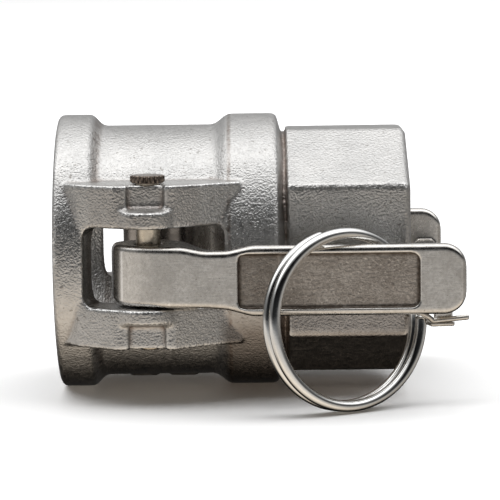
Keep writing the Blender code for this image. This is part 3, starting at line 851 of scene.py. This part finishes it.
def cast_painted_shade_and_tone(f, colour):
    """Painted brown shade on the casting: in hollows and seams, in the windows, on the lower collar and hex
    and on the underside; the upper lugs toned a little darker.
    """
    x = f.axis("X")
    y = f.axis("Y")
    z = f.axis("Z")
    out = f.math("ABSOLUTE", y)
    radius = f.math("SQRT", f.math("ADD", f.both(y, y), f.both(z, z)))
    # painted shade: brown in the hollows, where shade falls
    colour = f.blend(f.both(f.edges(0.492, 0.455), 0.7), colour, (0.24, 0.18, 0.15))
    # painted shadow: the lower collar darker brown, where the ring and handle shade it
    collar = f.both(
        f.reach(z, -6.0, -12.0), f.reach(x, COLLAR_START_X - 2.0, COLLAR_START_X),
        f.reach(x, SHOULDER_X + 0.8, SHOULDER_X - 0.2),
    )
    colour = f.blend(f.both(collar, 0.82), colour, (0.20, 0.17, 0.15))
    # painted shade: the hex darker brown towards its lower faces
    hex_low = f.both(f.reach(z, -3.0, -9.0, 0.4), f.reach(x, SHOULDER_X, SHOULDER_X + 0.6))
    colour = f.blend(hex_low, colour, (0.28, 0.22, 0.18))
    # the upper lugs toned a little darker brown
    lug = f.both(f.reach(out, RIM_R, RIM_R + 0.6), f.reach(z, 4.0, 7.0), 0.17)
    colour = f.blend(lug, colour, (0.27, 0.23, 0.20))
    # painted shade: the underside darker brown from the neck on
    under = f.both(f.reach(z, -17.0, -21.0), f.reach(x, -28.0, -26.0, 0.5))
    colour = f.blend(under, colour, (0.20, 0.17, 0.15))
    # painted shade: patchy dark brown in the seams where the rim, neck, collar and shoulder meet
    patchy = f.both(
        f.remap(f.noise(1.6, 3.0), 0.35, 0.6, 0.3, 1.0), f.reach(radius, RIM_R + 0.5, RIM_R + 0.1)
    )
    for at, half, share in (
        (RIM_END_X + 1.2, 0.9, 0.5), (COLLAR_START_X + 0.35, 0.45, 0.6),
        (SHOULDER_X + 0.4, 0.5, 0.6),
    ):
        away = f.math("ABSOLUTE", f.math("SUBTRACT", x, at * MM))
        colour = f.blend(f.both(f.reach(away, half, 0.3 * half, share), patchy), colour, (0.17, 0.12, 0.09))
    # painted shade: darker brown on the walls inside the arm windows
    window = f.both(
        f.reach(out, 21.0, 20.0), f.reach(x, -7.0, -8.0),
        f.reach(z, SLOT_TOP + 0.5, SLOT_TOP - 0.2), f.reach(z, SLOT_BOTTOM - 0.5, SLOT_BOTTOM + 0.2),
        f.reach(radius, SOCKET_R + 0.1, SOCKET_R + 0.5), 0.5,
    )
    colour = f.blend(window, colour, (0.20, 0.16, 0.13))
    return colour, collar


def cast_finish():
    """Bead-blasted cast stainless: bright grain, small dark pits, painted brown shade, and edges brightened
    partly by wear and partly as a painted highlight.
    """
    f = Finish("blasted_cast_steel", (0.58, 0.57, 0.56), 1.0, 0.38)
    fine = f.noise(0.36, 1.5, 0.55)
    broad = f.remap(f.noise(9.0, 3.0), 0.3, 0.7)
    pits = f.remap(f.noise(0.8, 2.0), 0.665, 0.71, 0.0, 0.6)
    colour = f.blend(broad, (0.60, 0.59, 0.575), (0.49, 0.485, 0.475))
    colour = f.blend(f.remap(fine, 0.35, 0.7, 0.0, 0.4), colour, (0.72, 0.72, 0.72))
    colour = f.blend(pits, colour, (0.20, 0.18, 0.16))
    colour, collar = cast_painted_shade_and_tone(f, colour)
    # edges brightened partly by wear and partly as a painted highlight; kept off the painted collar shadow
    wear_and_painted_highlight = f.both(f.edges(0.515, 0.57), f.math("SUBTRACT", 1.0, collar))
    colour = f.blend(f.both(wear_and_painted_highlight, 0.85), colour, (0.90, 0.90, 0.89))
    rough = f.remap(f.noise(0.9, 3.0), 0.3, 0.7, 0.30, 0.44)
    rough = f.math("SUBTRACT", rough, f.both(wear_and_painted_highlight, 0.10))
    smoother = f.remap(f.axis("Z"), -5.0 * MM, -9.0 * MM, 1.0, 0.75)
    f.bump(f.noise(3.2, 2.0), 0.10, 0.5)
    f.bump(f.noise(0.9, 2.0, 0.5), 0.10, f.both(smoother, 0.5))
    f.bump(fine, 0.17, f.both(smoother, 0.9))
    return f.done(colour, rough)


def panel_share(f, x, z, out):
    """1 on the floor of the handle's recess and 0 on the rest of the arm."""
    wall = HANDLE_OUTER - 0.62 * PANEL_DEPTH
    return f.both(
        f.reach(out, wall, wall - 0.1), f.reach(out, 26.0, 27.0),
        f.reach(x, PANEL_START_X - 0.2, PANEL_START_X), f.reach(x, PANEL_END_X + 0.2, PANEL_END_X),
        f.reach(z, PANEL_TOP + 0.2, PANEL_TOP), f.reach(z, PANEL_BOTTOM - 0.2, PANEL_BOTTOM),
    )


def panel_colour(f, x, z, grain):
    """Mottled brown-grey with bright specks, darker towards the hub end, and a painted shade line along the
    recess's walls.
    """
    blotch = f.remap(f.noise(3.5, 4.0, 0.6), 0.35, 0.65)
    floor = f.blend(blotch, (0.42, 0.38, 0.345), (0.63, 0.59, 0.55))
    floor = f.blend(f.remap(grain, 0.4, 0.65, 0.0, 0.6), floor, (0.25, 0.22, 0.195))
    floor = f.blend(f.remap(f.noise(0.35, 2.0), 0.56, 0.72, 0.0, 0.6), floor, (0.86, 0.81, 0.75))
    near_hub = f.reach(x, PANEL_START_X + 11.0, PANEL_START_X + 3.0, 0.4)
    floor = f.blend(near_hub, floor, (0.20, 0.17, 0.145))
    # painted shade: a dark line along the recess's walls, where they shade the floor
    clear_of_walls = f.both(*[
        f.reach(along, at + 0.3 * inward, at + 0.8 * inward) for along, at, inward in (
            (x, PANEL_START_X, 1.0), (x, PANEL_END_X, -1.0),
            (z, PANEL_BOTTOM, 1.0), (z, PANEL_TOP, -1.0),
        )
    ])
    line = f.both(
        f.math("SUBTRACT", 1.0, clear_of_walls), f.remap(f.noise(1.0, 3.0), 0.3, 0.6, 0.55, 0.95)
    )
    return f.blend(line, floor, (0.09, 0.07, 0.055))


def arm_finish():
    """Tumbled cast arm: speckled satin faces, bright edges, a rough recess, and painted brown shade on the
    cam inside the window and in the hollows.
    """
    f = Finish("tumbled_arm_steel", (0.6, 0.58, 0.55), 1.0, 0.3)
    x = f.axis("X")
    z = f.axis("Z")
    out = f.math("ABSOLUTE", f.axis("Y"))
    panel = panel_share(f, x, z, out)
    grain = f.noise(0.55, 4.0, 0.65)
    speckle = f.remap(f.noise(0.4, 3.0, 0.6), 0.4, 0.65, 0.0, 0.45)
    pits = f.remap(f.noise(0.5, 2.0), 0.69, 0.73, 0.0, 0.6)
    face = f.blend(f.remap(f.noise(5.0, 4.0), 0.3, 0.7), (0.74, 0.72, 0.69), (0.60, 0.58, 0.55))
    face = f.blend(speckle, face, (0.42, 0.40, 0.37))
    face = f.blend(pits, face, (0.22, 0.19, 0.17))
    colour = f.blend(panel, face, panel_colour(f, x, z, grain))
    # painted shade: the cam inside the body's window darker brown
    colour = f.blend(f.reach(out, 20.5, 19.5, 0.6), colour, (0.22, 0.18, 0.15))
    edge = f.edges(0.51, 0.56)
    colour = f.blend(f.both(edge, 0.6), colour, (0.86, 0.85, 0.84))
    # painted shade: dark brown in the hollows, as along the recess's walls
    colour = f.blend(f.both(f.edges(0.492, 0.455), 0.85), colour, (0.12, 0.10, 0.08))
    satin = f.remap(f.noise(1.2, 3.0), 0.3, 0.7, 0.20, 0.34)
    satin = f.math("SUBTRACT", satin, f.both(edge, 0.10))
    rough = f.math("ADD", satin, f.both(panel, 0.20))
    f.bump(f.noise(2.4, 3.0), 0.05, 0.5)
    f.bump(f.noise(0.25, 2.0, 0.5, stretch=(0.12, 1.0, 1.0)), 0.02, 0.35)
    f.bump(grain, 0.16, f.both(panel, 0.8))
    return f.done(colour, rough)


def pin_finish():
    """Drawn pin with a golden-brown shank and a dark head."""
    f = Finish("pin_steel", (0.5, 0.46, 0.42), 1.0, 0.35)
    stain = f.remap(f.noise(1.5, 3.0), 0.35, 0.65)
    colour = f.blend(stain, (0.66, 0.60, 0.50), (0.50, 0.44, 0.36))
    head = f.remap(f.axis("Z"), (PIN_HEAD_BASE - 0.1) * MM, PIN_HEAD_BASE * MM)
    dark = f.blend(f.remap(f.noise(0.5, 3.0), 0.35, 0.65), (0.30, 0.25, 0.21), (0.10, 0.08, 0.07))
    colour = f.blend(head, colour, dark)
    rough = f.remap(f.noise(0.6, 3.0), 0.3, 0.7, 0.22, 0.40)
    f.bump(f.noise(0.2, 2.0, 0.5, stretch=(1.0, 1.0, 0.15)), 0.02, 0.5)
    return f.done(colour, rough)


def ring_finish():
    """Bright polished wire."""
    f = Finish("polished_wire", (0.8, 0.8, 0.79), 1.0, 0.12)
    colour = f.blend(f.remap(f.noise(2.0, 3.0), 0.3, 0.7), (0.82, 0.82, 0.81), (0.74, 0.74, 0.73))
    rough = f.remap(f.noise(0.8, 3.0), 0.3, 0.7, 0.09, 0.18)
    f.bump(f.noise(0.5, 2.0), 0.01, 0.4)
    return f.done(colour, rough)


def cotter_finish():
    """Duller drawn wire."""
    f = Finish("split_pin_wire", (0.6, 0.58, 0.55), 1.0, 0.28)
    colour = f.blend(f.remap(f.noise(1.0, 3.0), 0.3, 0.7), (0.66, 0.64, 0.61), (0.52, 0.49, 0.45))
    rough = f.remap(f.noise(0.5, 3.0), 0.3, 0.7, 0.22, 0.38)
    f.bump(f.noise(0.2, 2.0), 0.015, 0.5)
    return f.done(colour, rough)


def rubber_finish():
    """Matt black rubber."""
    f = Finish("gasket_rubber", (0.025, 0.025, 0.026), 0.0, 0.6)
    colour = f.blend(f.remap(f.noise(1.5, 4.0), 0.3, 0.7), (0.020, 0.020, 0.021), (0.045, 0.044, 0.043))
    rough = f.remap(f.noise(0.6, 3.0), 0.3, 0.7, 0.5, 0.72)
    f.bump(f.noise(0.3, 3.0), 0.03, 0.5)
    return f.done(colour, rough)


# ---------------------------------------------------------------- assembly

def place(piece, material, body, node, slot):
    piece.data.materials.clear()
    piece.data.materials.append(material)
    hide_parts(node)
    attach(piece, body)


place(build_casting(), cast_finish(), "root", "coupler_body", "cast_body")
place(build_seal(), rubber_finish(), "root", "gasket", "gasket_rubber")
arm_steel = arm_finish()
pin_steel = pin_finish()
ring_steel = ring_finish()
cotter_steel = cotter_finish()
for side, tag in ((-1.0, "front"), (1.0, "rear")):
    place(build_pin(tag, side), pin_steel, "root", "pivot_pin_" + tag, "pivot_pin")
    place(build_arm(tag, side), arm_steel, "arm_" + tag, "cam_arm_" + tag, "cam_arm")
    place(build_cotter(tag, side), cotter_steel, "arm_" + tag, "split_pin_" + tag, "polished_wire")
    place(build_ring(tag, side), ring_steel, "ring_" + tag, "pull_ring_" + tag, "polished_wire")


# ---------------------------------------------------------------- floor, light and camera

def add_floor():
    """A wide pale floor, kept out of the reflections so that the studio alone shades the steel."""
    level = cad_box[0][2] - 0.0001
    size = 8.0
    points = [(-size, -size, level), (size, -size, level), (size, size, level), (-size, size, level)]
    mesh = bpy.data.meshes.new("floor")
    mesh.from_pydata(points, [], [[0, 1, 2, 3]])
    floor = bpy.data.objects.new("floor", mesh)
    bpy.context.scene.collection.objects.link(floor)
    f = Finish("pale_floor", (0.86, 0.86, 0.86), 0.0, 0.9)
    mesh.materials.append(f.done(f.blend(f.noise(30.0, 2.0), (0.86, 0.86, 0.86), (0.87, 0.87, 0.87))))
    floor.visible_glossy = False
    floor.visible_diffuse = False
    return floor


def add_area(name, location, target, size, power):
    light = bpy.data.lights.new(name, "AREA")
    light.size = size
    light.energy = power
    lamp = bpy.data.objects.new(name, light)
    lamp.location = location
    aim = Vector(target) - Vector(location)
    lamp.rotation_euler = aim.to_track_quat("-Z", "Y").to_euler()
    bpy.context.scene.collection.objects.link(lamp)
    return lamp


def light_only(lamp, thing):
    """Keep a lamp's light for one object."""
    lit = bpy.data.collections.new(lamp.name + "_receivers")
    lit.objects.link(thing)
    lamp.light_linking.receiver_collection = lit


# Brightness of the studio round the bore axis, as (degrees, strength, warmth): 0 is level towards
# the front, 90 is overhead, 180 is level behind and -90 is straight down.
STUDIO_BAND = (
    (-180.0, 0.30, 0.0), (-162.0, 0.04, 0.2), (-130.0, 0.0, 0.5), (-106.0, 0.0, 0.6),
    (-92.0, 0.18, 1.3), (-72.0, 0.72, 1.3), (-48.0, 0.95, 1.1), (-28.0, 0.78, 0.8),
    (-8.0, 0.62, 0.3), (0.0, 0.24, -0.2), (7.0, 0.02, -0.3), (42.0, 0.0, -0.2),
    (54.0, 0.25, 0.0), (64.0, 1.00, 0.0), (76.0, 2.00, 0.0), (102.0, 2.00, 0.0),
    (128.0, 0.85, 0.0), (155.0, 0.40, 0.0), (180.0, 0.30, 0.0),
)
# The same up the two ends of the room, as (height, strength, warmth): 0 is the floor and 1 the ceiling.
STUDIO_ENDS = (
    (0.0, 0.02, 0.5), (0.12, 0.05, 0.5), (0.28, 0.52, 0.9), (0.46, 0.58, 0.4),
    (0.55, 0.10, 0.0), (0.72, 0.20, 0.0), (0.88, 1.50, 0.0), (1.0, 2.00, 0.0),
)
STUDIO_PEAK = 2.2


def tinted(strength, warmth):
    """A grey of some strength, pulled towards brown or, below zero, towards blue."""
    share = strength / STUDIO_PEAK
    return (share * (1.0 + 0.11 * warmth), share, share * (1.0 - 0.13 * warmth), 1.0)


def world_node(tree, kind, **settings):
    made = tree.nodes.new(kind)
    for name, value in settings.items():
        setattr(made, name, value)
    return made


def world_ramp(tree, value, stops):
    """A colour ramp through (position, colour) stops."""
    ramp = tree.nodes.new("ShaderNodeValToRGB")
    tree.links.new(value, ramp.inputs[0])
    ramp.color_ramp.interpolation = "LINEAR"
    elements = ramp.color_ramp.elements
    while len(elements) < len(stops):
        elements.new(0.5)
    for element, (position, _) in zip(elements, stops):
        element.position = position
    for element, (_, colour) in zip(elements, stops):
        element.color = colour
    return ramp.outputs["Color"]


def add_world():
    """A soft studio: a bright ceiling, a dark front above eye level and a warm low bounce."""
    world = bpy.data.worlds.new("studio")
    bpy.context.scene.world = world
    world.use_nodes = True
    tree = world.node_tree
    back = tree.nodes["Background"]
    back.inputs["Strength"].default_value = STUDIO_PEAK
    split = tree.nodes.new("ShaderNodeSeparateXYZ")
    tree.links.new(tree.nodes.new("ShaderNodeTexCoord").outputs["Generated"], split.inputs[0])
    front = world_node(tree, "ShaderNodeMath", operation="MULTIPLY")
    tree.links.new(split.outputs["Y"], front.inputs[0])
    front.inputs[1].default_value = -1.0
    angle = world_node(tree, "ShaderNodeMath", operation="ARCTAN2")
    tree.links.new(split.outputs["Z"], angle.inputs[0])
    tree.links.new(front.outputs[0], angle.inputs[1])
    share = world_node(tree, "ShaderNodeMath", operation="MULTIPLY_ADD")
    tree.links.new(angle.outputs[0], share.inputs[0])
    share.inputs[1].default_value = 0.5 / pi
    share.inputs[2].default_value = 0.5
    stops = [((turn + 180.0) / 360.0, tinted(level, warmth)) for turn, level, warmth in STUDIO_BAND]
    band = world_ramp(tree, share.outputs[0], stops)
    height = world_node(tree, "ShaderNodeMath", operation="MULTIPLY_ADD")
    tree.links.new(split.outputs["Z"], height.inputs[0])
    height.inputs[1].default_value = 0.5
    height.inputs[2].default_value = 0.5
    stops = [(level, tinted(strength, warmth)) for level, strength, warmth in STUDIO_ENDS]
    sides = world_ramp(tree, height.outputs[0], stops)
    reach = world_node(tree, "ShaderNodeMath", operation="ABSOLUTE")
    tree.links.new(split.outputs["X"], reach.inputs[0])
    towards = world_node(tree, "ShaderNodeMapRange", interpolation_type="SMOOTHSTEP")
    tree.links.new(reach.outputs[0], towards.inputs["Value"])
    towards.inputs["From Min"].default_value = 0.6
    towards.inputs["From Max"].default_value = 0.96
    mix = world_node(tree, "ShaderNodeMix", data_type="RGBA")
    tree.links.new(towards.outputs["Result"], mix.inputs[0])
    lean = world_node(tree, "ShaderNodeMath", operation="MULTIPLY_ADD")
    tree.links.new(split.outputs["X"], lean.inputs[0])
    lean.inputs[1].default_value = -0.35
    lean.inputs[2].default_value = 1.0
    leaned = world_node(tree, "ShaderNodeMix", data_type="RGBA", blend_type="MULTIPLY")
    leaned.inputs[0].default_value = 1.0
    tree.links.new(sides, leaned.inputs[6])
    tree.links.new(lean.outputs[0], leaned.inputs[7])
    tree.links.new(band, mix.inputs[6])
    tree.links.new(leaned.outputs[2], mix.inputs[7])
    tree.links.new(mix.outputs[2], back.inputs["Color"])


def add_camera():
    target = Vector(CAMERA_AIM)
    spot = target + CAMERA_DISTANCE * Vector((0.0, -cos(CAMERA_LIFT), sin(CAMERA_LIFT)))
    data = bpy.data.cameras.new("camera")
    data.sensor_width = CAMERA_SENSOR
    data.lens = CAMERA_SENSOR * CAMERA_DISTANCE / VIEW_WIDTH
    data.clip_start = 0.01
    camera = bpy.data.objects.new("camera", data)
    camera.location = spot * MM
    look = (target - spot).to_track_quat("-Z", "Y").to_matrix()
    camera.rotation_euler = (look @ Matrix.Rotation(CAMERA_ROLL, 3, "Z")).to_euler()
    bpy.context.scene.collection.objects.link(camera)
    bpy.context.scene.camera = camera


ground = add_floor()
light_only(add_area("floor_box", (0.0, 0.8, 1.6), (0.0, 0.8, 0.0), 3.4, 40.0), ground)
add_world()
add_camera()
bpy.context.scene.view_settings.view_transform = "Standard"
